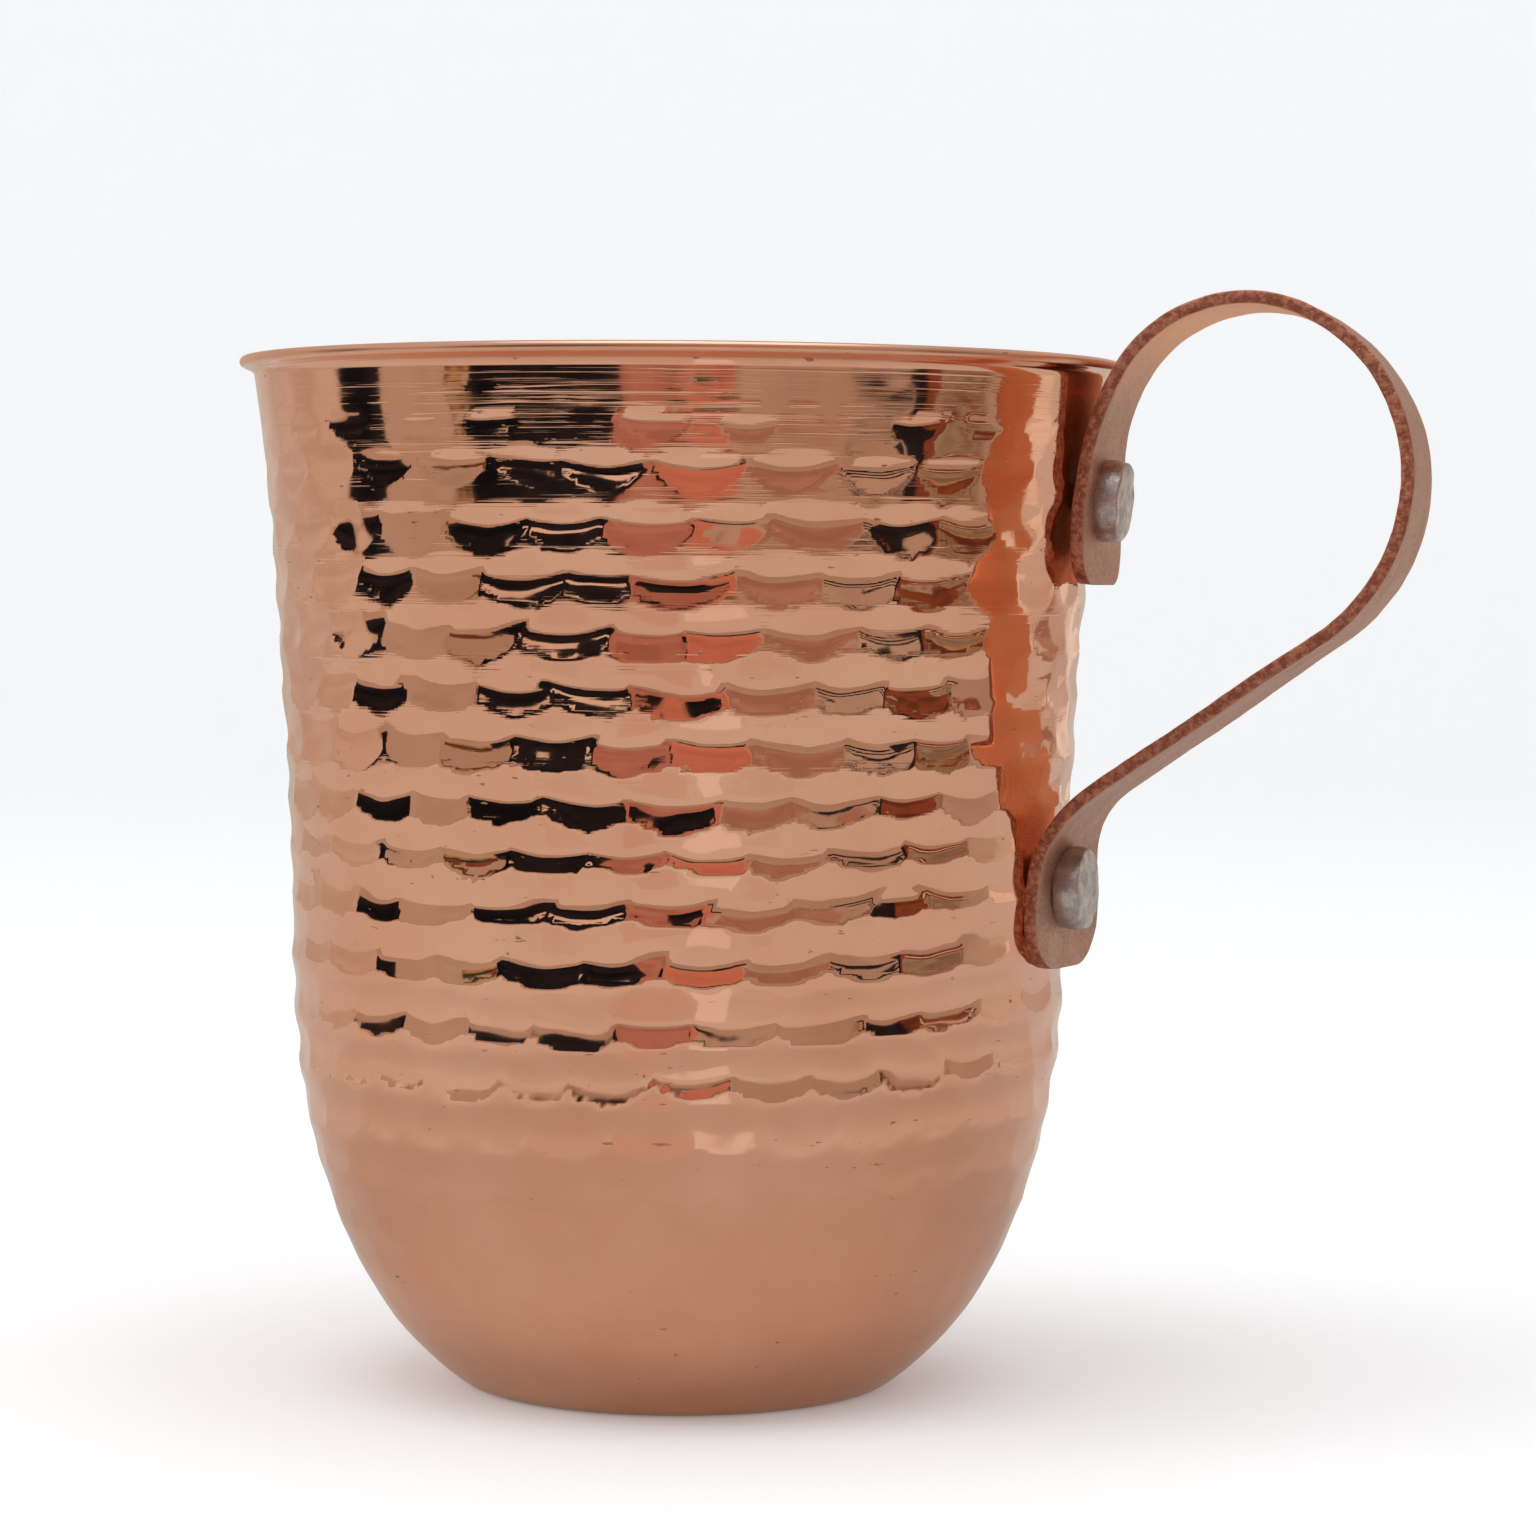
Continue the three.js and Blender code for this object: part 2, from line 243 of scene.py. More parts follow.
class Blows:
    """Every hammer print: its centre (angle, distance along the outside), depth and tilt."""

    def __init__(self):
        random = np.random.default_rng(SEED)
        rows = np.arange(-ROWS_BELOW, ROWS_ABOVE)
        shape = (len(rows), BLOWS_ROUND)
        start = outside.at_height(FIRST_ROW_HEIGHT)
        spread = 2 * math.pi / BLOWS_ROUND
        turns = np.arange(BLOWS_ROUND)[None, :]
        self.phase = ROW_PHASE + ROW_DRIFT * (rows - MIDDLE_ROW) + spread * 0.5 * (rows % 2)
        self.angle = self.phase[:, None] + spread * turns + random.normal(0, ANGLE_SPREAD, shape)
        self.along = start + ROW_PITCH * rows[:, None] + random.normal(0, ALONG_SPREAD, shape)
        self.along[-1] -= TOP_ROW_DROP
        low_rows = 1 - smoothstep(*HANDLE_LIFT_ENDS, rows)[:, None]
        near_handle = np.exp(-((half_turn(self.angle) / HANDLE_LIFT_REACH) ** 2))
        self.along += HANDLE_LIFT * low_rows * near_handle
        self.depth = np.interp(rows, *DEPTHS)[:, None] * random.uniform(WEAKEST, STRONGEST, shape)
        missing = (rows == ROWS_ABOVE - 1)[:, None] & (random.random(shape) < TOP_ROW_MISSING)
        self.depth = np.where(missing, -1.0, self.depth)
        self.side_tilt = random.normal(0, SIDE_TILT_SPREAD, shape)
        self.up_tilt = random.normal(0, UP_TILT_SPREAD, shape) + np.interp(rows, *LEANS)[:, None]
        self.twist = random.normal(0, TWIST_SPREAD, shape)
        self.up_curve = UP_CURVE * np.interp(rows, *ROUNDINGS)
        self.force = np.interp(rows, *FORCES)
        self.start, self.rows, self.spread = start, rows, spread

    def prints(self, angle, along):
        """For each point, the depths and slopes of the nine prints nearest to it."""
        radius = outside.radius(along)
        taper = (TAPER_RADIUS / np.maximum(radius, TAPER_LEAST)) ** TAPER_POWER
        row = np.rint((along - self.start) / ROW_PITCH).astype(int) - self.rows[0]
        for row_step in (-1, 0, 1):
            i = np.clip(row + row_step, 0, len(self.rows) - 1)
            column = np.rint((angle - self.phase[i]) / self.spread).astype(int)
            for column_step in (-1, 0, 1):
                k = (column + column_step) % BLOWS_ROUND
                s = radius * half_turn(angle - self.angle[i, k])
                t = along - self.along[i, k]
                curve = (SIDE_CURVE - SIDE_CURVE_CHANGE * np.tanh(t)) * taper
                change = SIDE_CURVE_CHANGE / np.cosh(t) ** 2 * taper
                up_curve = self.up_curve[i]
                fall = UP_SLOPE * UP_BEND * np.log(np.cosh(t / UP_BEND)) + up_curve * t * t / 2
                force = self.force[i]
                curve, change = curve * force, change * force
                depth = self.depth[i, k] * force - curve * s * s / 2 - fall * force
                side_tilt, up_tilt, twist = self.side_tilt[i, k], self.up_tilt[i, k], self.twist[i, k]
                depth = depth + side_tilt * s + up_tilt * t + twist * s * t
                side_slope = side_tilt - curve * s + twist * t
                up_slope = up_tilt + twist * s + change * s * s / 2
                up_slope = up_slope - force * (UP_SLOPE * np.tanh(t / UP_BEND) + up_curve * t)
                yield depth, side_slope, up_slope

    def deepest(self, angle, along):
        """Depth and slopes of the two deepest prints at each point. Untouched metal is 0."""
        best = np.zeros((3,) + angle.shape)
        second = np.full((3,) + angle.shape, -9.0)
        for one in self.prints(angle, along):
            one = np.stack(one)
            wins = one[0] > best[0]
            runs_up = ~wins & (one[0] > second[0])
            second = np.where(wins, best, np.where(runs_up, one, second))
            best = np.where(wins, one, best)
        return best, second

    def driven_in(self, angle, along):
        """How far the metal is driven in: the deepest print, run smoothly into the next one."""
        best, second = self.deepest(angle, along)
        change = np.hypot(best[1] - second[1], best[2] - second[2])
        to_ridge = (best[0] - second[0]) / np.maximum(change, LEAST_RIDGE)
        share = np.clip(1 - to_ridge / (RIDGE_WIDTH / 2), 0, 1)
        swell_top, swell_end = (self.start + row * ROW_PITCH for row in SWELL_ENDS)
        swell = SWELL * (1 - smoothstep(swell_top, swell_end, along))
        from_hollow = (along - outside.at_height(HOLLOW_HEIGHT)) / HOLLOW_REACH
        hollow = HOLLOW_DEPTH * np.exp(-(from_hollow**2))
        return best[0] + change * RIDGE_WIDTH / 8 * share**2 - swell + hollow


class Waves:
    """Slow unevenness: a sum of waves in every direction that close round the cup."""

    def __init__(self, shortest, longest, slope, count, seed):
        random = np.random.default_rng(seed)
        pace = 2 * math.pi / random.uniform(shortest, longest, count)
        heading = random.uniform(0, math.pi, count)
        self.round = np.rint(pace * np.cos(heading) * BELLY_RADIUS)
        self.up = pace * np.sin(heading)
        self.start = random.uniform(0, 2 * math.pi, count)
        self.height = slope / math.sqrt(count) / pace

    def __call__(self, angle, along):
        total = np.zeros(angle.shape)
        for turns, up, start, height in zip(self.round, self.up, self.start, self.height):
            total += height * np.sin(turns * angle + up * along + start)
        return total


blows = Blows()
# Shortest and longest wave, slope in radians, how many, and the seed.
wide_waves = Waves(3.4, 8.0, 0.02, 36, 21)
small_waves = Waves(1.3, 2.6, 0.004, 30, 22)

# ---- cup mesh

OUTER_COLUMNS, INNER_COLUMNS = 448, 224  # two outside for each one inside
BASE_RINGS = [1.5, 6, 11, 15, 18.5, FOOT_RADIUS - 0.5, FOOT_RADIUS]
FLOOR_RINGS = [FOOT_RADIUS, 17, 12, 7, 2]
HEEL_TOP, BOWL_TOP, STRUCK_TOP = 1.2, 22.0, 102.8  # heights outside where the rings' spacing changes
BOWL_STEP, ROW_STEP = 1.3, 0.6
HEEL_RINGS, LIP_RINGS, RIM_STEPS = 5, 11, 8
INNER_LIP, INNER_BOWL_TOP, INNER_FLOOR = 101.0, 20.0, 2.2  # heights inside where it changes
INNER_LIP_RINGS, INNER_WALL_RINGS, INNER_BOWL_RINGS = 7, 56, 14

INNER_BUMP = 0.45  # how much of each print shows inside
INNER_REACH = 0.9  # how far round it the sheet's thickness softens it
LOWEST_MATCH, LEAST_INNER_RADIUS = 1.3, 5  # the floor's middle is left out of that
SLOPE_STEP = 0.04  # over which slopes are measured
SEAT_DEPTH, SEAT_REACH = 0.3, 11.0  # under the strap's lower tab
UNEVEN = (0.01, 0.07)  # how deeply struck the metal is where the waves start to show and show fully
STRIKES_START, STRIKES_END = (3.0, 8.0), (99.5, 102.0)  # heights where the prints fade in and out

# Turning lines show where the hammer never struck, on the wall more than on the bowl.
TOUCHED_DEPTH, STRUCK_TURNED = 0.02, 0.05
TURNED_WALL, TURNED_LIP, LIP_WORN = (52, 84), (99, 102), 0.35
RIM_TURNED, INNER_TURNED = 0.12, 0.3
# How satin the surface is: the bowl fades out over these heights.
SATIN_BOWL, RIM_SATIN, INNER_SATIN = (26, 46), 3.5, 0.7


def outer_rows():
    """Distances along the outside of each ring of vertices, closest where the hammer struck."""
    heel, bowl_top, struck_top = (outside.at_height(z) for z in (HEEL_TOP, BOWL_TOP, STRUCK_TOP))
    bowl_rings, struck_rings = (bowl_top - heel) / BOWL_STEP, (struck_top - bowl_top) / ROW_STEP
    bend = np.linspace(FOOT_RADIUS, heel, HEEL_RINGS)[1:]
    bowl = np.linspace(heel, bowl_top, int(bowl_rings))[1:]
    struck = np.linspace(bowl_top, struck_top, int(struck_rings))[1:]
    lip = np.linspace(struck_top, outside.length, LIP_RINGS)[1:]
    return np.concatenate([BASE_RINGS, bend, bowl, struck, lip])


def inner_rows():
    """Distances along the inside of each ring of vertices, from the lip to the floor."""
    lip, bowl_top, floor = (inside.at_height(z) for z in (INNER_LIP, INNER_BOWL_TOP, INNER_FLOOR))
    neck = np.linspace(inside.length, lip, INNER_LIP_RINGS)
    wall = np.linspace(lip, bowl_top, INNER_WALL_RINGS)[1:]
    bowl = np.linspace(bowl_top, floor, INNER_BOWL_RINGS)[1:]
    return np.concatenate([neck, wall, bowl, FLOOR_RINGS])


def seat_depth(angle, along):
    """The wall is pressed in where the strap's lower tab is riveted to it."""
    side = outside.radius(along) * half_turn(angle) / SEAT_REACH
    up = (along - outside.at_height(LOWER_RIVET_HEIGHT)) / SEAT_REACH
    return SEAT_DEPTH * np.exp(-((side**2 + up**2) ** 2))


def outer_depth(angle, along):
    """How far the outside is driven in at a point."""
    struck = blows.driven_in(angle, along)
    uneven = wide_waves(angle, along) + small_waves(angle, along)
    uneven *= smoothstep(*UNEVEN, struck + SWELL / 2)
    return (struck + uneven) * strikes_fade(along) + seat_depth(angle, along)


def inner_depth(angle, along):
    """How far the prints show through on the inside, softened by the thickness of the sheet."""
    matching = outside.at_height(np.maximum(inside.height(along), LOWEST_MATCH))
    reach = INNER_REACH
    around = [(0, 0), (reach, 0), (-reach, 0), (0, reach), (0, -reach)]
    depth = np.zeros(angle.shape)
    for side, up in around:
        shifted = angle + side / np.maximum(inside.radius(along), LEAST_INNER_RADIUS)
        depth += blows.driven_in(shifted, matching + up) / len(around)
    return INNER_BUMP * depth * strikes_fade(matching) + seat_depth(angle, matching)


def lathe_points(face, angle, along, inward):
    """Points of one face of the sheet, pushed in by inward."""
    outward, upward = face.normal(along)
    radius = face.radius(along) - inward * outward
    height = face.height(along) - inward * upward
    return np.stack([radius * np.cos(angle), radius * np.sin(angle), height], -1)


def lathe_normals(face, angle, along, depth):
    """Outward normals of that face, from how the depth changes round the cup and up it."""
    outward, upward = face.normal(along)
    step = SLOPE_STEP
    turn = step / np.maximum(face.radius(along), 1.0)
    side_slope = (depth(angle + turn, along) - depth(angle - turn, along)) / (2 * step)
    up_slope = (depth(angle, along + step) - depth(angle, along - step)) / (2 * step)
    cos, sin = np.cos(angle), np.sin(angle)
    normal = np.stack([outward * cos, outward * sin, upward], -1)
    up = np.stack([-upward * cos, -upward * sin, outward], -1)
    side = np.stack([-sin, cos, np.zeros(angle.shape)], -1)
    normal = normal + side_slope[..., None] * side + up_slope[..., None] * up
    return normal / np.linalg.norm(normal, axis=-1)[..., None]


def rings_of_vertices(first, count, columns):
    """The numbers of the vertices of each ring, and the number that comes after them."""
    end = first + count * columns
    return [list(range(start, start + columns)) for start in range(first, end, columns)], end


def after(ring):
    """Each vertex's neighbour in its ring."""
    return ring[1:] + ring[:1]


def ring_faces(rings):
    """Two triangles for each cell between neighbouring rings."""
    faces = []
    for below, above in zip(rings, rings[1:]):
        for a, b, c, d in zip(below, after(below), after(above), above):
            faces += [(a, b, c), (a, c, d)]
    return faces


def strikes_fade(along):
    """The prints fade out towards the heel and under the lip."""
    height = outside.height(along)
    return smoothstep(*STRIKES_START, height) * (1 - smoothstep(*STRIKES_END, height))


def rim_rings(angles):
    """The rounded edge of the lip, from outside to inside: its points and normals."""
    lip = np.array([RIM_RADIUS - WALL / 2, CUP_HEIGHT - WALL / 2])
    edge = outside.points[-1] - lip
    first = math.atan2(edge[1], edge[0])
    circle = np.stack([np.cos(angles), np.sin(angles), np.ones_like(angles)], -1)
    points, normals = [], []
    for bend in first + math.pi * np.arange(1, RIM_STEPS) / RIM_STEPS:
        facing = np.array([math.cos(bend), math.sin(bend)])
        r, z = lip + WALL / 2 * facing
        points.append(circle * [r, r, z])
        normals.append(circle * [facing[0], facing[0], facing[1]])
    return np.array(points), np.array(normals)


def make_cup(material):
    angles = full_circle(OUTER_COLUMNS)
    along, angle = np.meshgrid(outer_rows(), angles, indexing="ij")
    depth = outer_depth(angle, along)
    outer = lathe_points(outside, angle, along, depth)
    outer_normals = lathe_normals(outside, angle, along, outer_depth)
    untouched = np.clip(1 - depth / TOUCHED_DEPTH, 0, 1)
    height = outer[..., 2]
    turned = STRUCK_TURNED + (1 - STRUCK_TURNED) * untouched
    turned *= smoothstep(*TURNED_WALL, height) * (1 - LIP_WORN * smoothstep(*TURNED_LIP, height))
    satin = 1 - smoothstep(*SATIN_BOWL, height)
    rim, rim_normals = rim_rings(angles)

    inner_along, inner_angle = np.meshgrid(inner_rows(), full_circle(INNER_COLUMNS), indexing="ij")
    inner = lathe_points(inside, inner_angle, inner_along, inner_depth(inner_angle, inner_along))
    inner_normals = -lathe_normals(inside, inner_angle, inner_along, inner_depth)

    rings, inner_first = rings_of_vertices(1, len(outer) + len(rim), OUTER_COLUMNS)
    inner_rings, last = rings_of_vertices(inner_first, len(inner), INNER_COLUMNS)

    faces = [(0, b, a) for a, b in zip(rings[0], after(rings[0]))]
    faces += ring_faces(rings)
    wide, narrow = rings[-1], inner_rings[0]
    for a, b, c, d, e in zip(wide[::2], wide[1::2], after(wide[::2]), after(narrow), narrow):
        faces += [(a, b, e), (b, d, e), (b, c, d)]
    faces += ring_faces(inner_rings)
    faces += [(last, a, b) for a, b in zip(inner_rings[-1], after(inner_rings[-1]))]

    groups = [[[0, 0, 0]], outer, rim, inner, [[0, 0, WALL]]]
    facings = [[[0, 0, -1]], outer_normals, rim_normals, inner_normals, [[0, 0, 1]]]
    rim_ones, inner_ones = np.ones(rim[..., 0].size), np.ones(inner[..., 0].size)
    turned = [[0], turned.ravel(), RIM_TURNED * rim_ones, INNER_TURNED * inner_ones, [0]]
    satin = [[1], satin.ravel(), RIM_SATIN * rim_ones, INNER_SATIN * inner_ones, [INNER_SATIN]]
    attributes = [("turned", np.concatenate(turned)), ("satin", np.concatenate(satin))]
    vertices, normals = (
        np.concatenate([np.reshape(group, (-1, 3)) for group in each]) for each in (groups, facings)
    )
    name, slot, nodes = "hammered_cup", "polished_copper", ["cup_body"]
    make_piece(name, vertices, faces, material, slot, nodes, None, attributes, normals)


# ---- strap


def direction(heading):
    return np.array([math.cos(heading), math.sin(heading)])


def walk(start, heading, length, turn):
    """The end of a run: turn is 0 on a straight run, and negative to the right."""
    if turn == 0:
        return start + length * direction(heading)
    left, left_at_end = (direction(h + math.pi / 2) for h in (heading, heading + turn))
    return start + length / turn * (left - left_at_end)


def cross(a, b):
    return a[0] * b[1] - a[1] * b[0]


def strap_at_rivet(height):
    radius, lean = wall_at(height)
    stand = CAD_GAP + STRAP_THICKNESS / 2
    point = np.array([radius + stand * math.cos(lean), height - stand * math.sin(lean)])
    return point, math.pi / 2 - lean


def strap_runs():
    """The strap's middle as straight runs and bends, from its upper end to its lower end."""
    upper, up_wall = strap_at_rivet(UPPER_RIVET_HEIGHT)
    lower, lower_up_wall = strap_at_rivet(LOWER_RIVET_HEIGHT)
    runs = []

    def go_on(point, heading, steps):
        for length, turn in steps:
            runs.append((point, heading, length, turn))
            point = walk(point, heading, length, turn)
            heading += turn
        return point, heading

    bends = [(radius * bend, -bend) for radius, bend in STRAP_BENDS]
    rise = [(UPPER_TAB + RISE_ABOVE_RIVET, 0.0)]
    point, heading = go_on(upper - UPPER_TAB * direction(up_wall), up_wall, rise + bends)

    down_wall = lower_up_wall - math.pi
    return_turn = down_wall - heading
    return_bend = (RETURN_RADIUS * return_turn, return_turn)
    to_go = lower - point - walk(np.zeros(2), heading, *return_bend)
    run, tab = direction(heading), direction(down_wall)
    diagonal = cross(to_go, tab) / cross(run, tab)
    tab_above_rivet = cross(run, to_go) / cross(run, tab)
    go_on(point, heading, [(diagonal, 0.0), return_bend, (tab_above_rivet + LOWER_TAB, 0.0)])
    return runs


RUNS = strap_runs()
STRAP_LENGTH = sum(run[2] for run in RUNS)
MIDDLE_HEIGHT = (UPPER_RIVET_HEIGHT + LOWER_RIVET_HEIGHT) / 2


def skew_at(height):
    return STRAP_SKEW * (height - MIDDLE_HEIGHT) / (UPPER_RIVET_HEIGHT - MIDDLE_HEIGHT)


def turned_about_z(x, y, z, angle):
    cos, sin = math.cos(angle), math.sin(angle)
    return np.array([x * cos - y * sin, x * sin + y * cos, z])


def strap_point(along, across, out):
    """A point of the strap: along from its upper end, across its width, out from its middle."""
    rest = along
    for start, heading, length, turn in RUNS:
        if rest <= length:
            break
        rest -= length
    else:
        rest += length  # rounding has put the point past the last run's end
    turned = turn * rest / length
    point = walk(start, heading, rest, turned)
    point = point + out * direction(heading + turned + math.pi / 2)
    return turned_about_z(point[0], across, point[1], skew_at(point[1]))


STRAP_SHARP = math.radians(38)
EDGE_ROUND = 0.22  # the sheared edges are a little rounded
STRAP_STATIONS, STRAP_COLUMNS, CORNER_STEPS, EDGE_STEPS = 230, 19, 13, 4
UPPER_PRESS, LOWER_PRESS = -0.2, 0.1  # nearer the wall than the CAD strap; below 0 is further off
TAB_CUPPING = 0.15  # share of the wall's curve that the tabs take up
CUPPING_RADIUS = BELLY_RADIUS + 2  # the wall's, about half way between the tabs
TAB_SHIFT = 0.9  # the tabs are set back, so the rivets sit nearer to the strap's front edge
UPPER_TWIST, LOWER_TWIST = math.radians(2.5), math.radians(7)  # each tab about its own length
UPPER_END_LIFT, LIFT_POWER = 0.7, 1.5  # the upper tab's end stands a little away from the wall
UPPER_TAB_FADE, LOWER_TAB_FADE = (-1, 9), (-10, 1)  # where the tabs run into the loop
TURN_OVER = (16, 30)  # here the face with painted light, a brighter orange, changes from the cup's side to the loop's inside

# The strap's unevenness: its size, and how fast it changes along and across, per millimetre.
EDGE_WANDER, WANDER_PACE = 0.016, (0.13, 0.02)
EDGE_NICKS, EDGE_CURL, NICK_PACE = 0.006, 0.035, (0.9, 0)
DENTS, DENT_PACE = 0.13, (0.11, 0.16)
SMALL_DENTS, SMALL_DENT_PACE = 0.05, (0.42, 0.42)


def half_width(along):
    """Half the strap's width: each end has rounded corners."""
    half = STRAP_WIDTH / 2
    for end, corner in ((along, UPPER_CORNER), (STRAP_LENGTH - along, LOWER_CORNER)):
        if end < corner:
            half += math.sqrt(max(corner**2 - (corner - end) ** 2, 0)) - corner
    return half


def strap_stations():
    """Distances along the strap, closest together round the corners of its ends."""
    quarter = np.linspace(0, math.pi / 2, CORNER_STEPS)
    upper = UPPER_CORNER * (1 - np.cos(quarter))
    lower = STRAP_LENGTH - LOWER_CORNER * (1 - np.cos(quarter[::-1]))
    between = np.linspace(UPPER_CORNER, STRAP_LENGTH - LOWER_CORNER, STRAP_STATIONS)[1:-1]
    return np.concatenate([upper, between, lower])


def strap_section(half):
    """The strap's closed section as (across, out, edge): edge is 1 on the sheared sides."""
    thick = STRAP_THICKNESS / 2
    flat = np.linspace(-1, 1, STRAP_COLUMNS) * (half - EDGE_ROUND)
    face = [(y, thick, 0.0) for y in flat]
    corner = []
    for i, bend in enumerate(np.linspace(0, math.pi / 2, EDGE_STEPS)[1:]):
        across = half - EDGE_ROUND + EDGE_ROUND * math.sin(bend)
        corner.append((across, thick - EDGE_ROUND * (1 - math.cos(bend)), min(1.0, 0.5 * (i + 1))))
    other_corner = [(across, -out, edge) for across, out, edge in corner[::-1]]
    section = face + corner + [(half, 0.0, 1.0)] + other_corner
    return section + [(-across, -out, edge) for across, out, edge in section]


def tab_closeness(along):
    """How much a place belongs to each of the tabs that lie on the wall: 1 on it, 0 on the loop."""
    upper_ends = [UPPER_TAB + end for end in UPPER_TAB_FADE]
    lower_ends = [STRAP_LENGTH - LOWER_TAB + end for end in LOWER_TAB_FADE]
    return float(1 - smoothstep(*upper_ends, along)), float(smoothstep(*lower_ends, along))


def lumps(x, y, z):
    """Smooth random numbers, about -1 to 1."""
    return noise.noise(Vector((x, y, z)))


def uneven_strap(along, across, out, edge, upper, lower):
    """Where a point of the strap's section moves to, as (across, out)."""
    wander = lumps(along * WANDER_PACE[0], across * WANDER_PACE[1] + 4, 0.5 if across > 0 else 7.5)
    nick = lumps(along * NICK_PACE[0], across * NICK_PACE[1] + 3, 1.5 if across > 0 else 9.5)
    dent = lumps(along * DENT_PACE[0], across * DENT_PACE[1], 20.0)
    small_dent = lumps(along * SMALL_DENT_PACE[0], across * SMALL_DENT_PACE[1], 40.0)
    close = upper - lower  # the strap turns over, so out is towards the cup on the upper tab only
    moved_across = across * (1 + EDGE_WANDER * wander + EDGE_NICKS * nick * edge)
    moved_across += TAB_SHIFT * abs(close)
    moved_out = out + DENTS * dent * (1 - abs(close)) + SMALL_DENTS * small_dent
    moved_out += UPPER_PRESS * upper - LOWER_PRESS * lower
    moved_out -= UPPER_END_LIFT * max(0.0, 1 - along / UPPER_TAB) ** LIFT_POWER
    moved_out += close * TAB_CUPPING * across**2 / (2 * CUPPING_RADIUS)
    moved_out += across * (LOWER_TWIST * lower - UPPER_TWIST * upper)
    moved_out += EDGE_CURL * nick * (abs(across) / (STRAP_WIDTH / 2)) ** 4
    return moved_across, moved_out


def make_strap(material):
    vertices, edges, painted_light_shares = [], [], []
    stations = strap_stations()
    for along in stations:
        upper, lower = tab_closeness(along)
        turned_over = float(smoothstep(*TURN_OVER, along))
        for across, out, edge in strap_section(half_width(along)):
            moved = uneven_strap(along, across, out, edge, upper, lower)
            vertices.append(strap_point(along, *moved))
            edges.append(edge)
            # painted light: 1 on the faces towards the cup, which are painted brighter, 0 elsewhere
            painted_light_shares.append(turned_over if out < 0 else 1 - turned_over)
    size = len(strap_section(1.0))
    last = (len(stations) - 1) * size
    faces = tube_faces(len(stations), size)
    for first, flip in ((0, True), (last, False)):
        edges[first : first + size] = [1.0] * size
        for k in range(size // 2 - 1):
            quad = (first + k, first + k + 1, first + size - 2 - k, first + size - 1 - k)
            faces.append(quad if flip else quad[::-1])
    nodes, attributes = ["handle_strap"], [("edge", edges), ("inner", painted_light_shares)]
    name, slot = "handle_strap_bent", "matt_copper"
    make_piece(name, vertices, faces, material, slot, nodes, STRAP_SHARP, attributes)


# ---- rivets

RIVET_AROUND = 72
RIVET_SHARP = math.radians(40)
SHANK_RADIUS = 2.0
HEAD_WAIST, HEAD_BULGE, HEAD_FACE = 3.95, 4.15, 3.75  # radius at the strap, midway, at the face
HEAD_START, HEAD_END = 1.45, 4.05  # from the cup's outer face
HEAD_CORNER, HEAD_SPREAD, HEAD_DOME = 0.3, 0.2, 0.02
CHAMFER_IN, CHAMFER_OUT = 0.12, 0.1
UNEVEN_START, UNEVEN_END = HEAD_START + 0.3, HEAD_START + 1.2  # where the head becomes uneven
BULGE_SHARES, BULGE_END = (0.2, 0.32, 0.45, 0.58, 0.7, 0.8), 0.9  # of the head's height
FACE_SHARES = (0.85, 0.68, 0.5, 0.32, 0.15, 0.0)  # of the face's radius
RIVET_CROOK = math.radians(3.6)  # both rivets stand a little askew
INNER_HEAD_RADIUS, INNER_HEAD_HEIGHT, INNER_HEAD_EDGE, INNER_HEAD_CHAMFER = 4.2, 1.3, 0.25, 0.05
INNER_SEAT = -WALL - 0.12  # just clear of the cup's inner face

# How uneven the hammer left a head: shares of its radius, heights, and how fast they change.
ROUND_LUMP, ROUND_DENT, FACE_DENT, FACE_LUMP = 0.035, 0.012, 0.16, 0.05
LUMP_ROUND, LUMP_RISE, DENT_ACROSS, DENT_RISE = 1.1, 0.5, 0.55, 0.8


def rivet_outline():
    """(radius, distance out of the cup's outer face) from the inner head's middle to the face's."""
    outline = []
    dome = INNER_HEAD_HEIGHT - INNER_HEAD_EDGE
    for turn in np.linspace(0.0, math.pi / 2, 9):
        out = INNER_SEAT - INNER_HEAD_EDGE - dome * math.cos(turn)
        outline.append((INNER_HEAD_RADIUS * math.sin(turn), out))
    outline += [
        (INNER_HEAD_RADIUS - INNER_HEAD_CHAMFER, INNER_SEAT),
        (SHANK_RADIUS, INNER_SEAT),
        (SHANK_RADIUS, HEAD_START),
        (HEAD_WAIST - CHAMFER_IN, HEAD_START),
        (HEAD_WAIST, HEAD_START + CHAMFER_OUT),
    ]
    for share in BULGE_SHARES:
        swell = math.sin(math.pi * share / BULGE_END)
        out = HEAD_START + (HEAD_END - HEAD_START) * share
        outline.append((HEAD_WAIST + (HEAD_BULGE - HEAD_WAIST) * swell, out))
    for turn in np.linspace(0.15, math.pi / 2, 6):
        radius = HEAD_FACE - HEAD_CORNER + (HEAD_CORNER + HEAD_SPREAD) * math.cos(turn)
        outline.append((radius, HEAD_END - HEAD_CORNER * (1 - math.sin(turn))))
    return outline + [(HEAD_FACE * share, HEAD_END + HEAD_DOME) for share in FACE_SHARES]


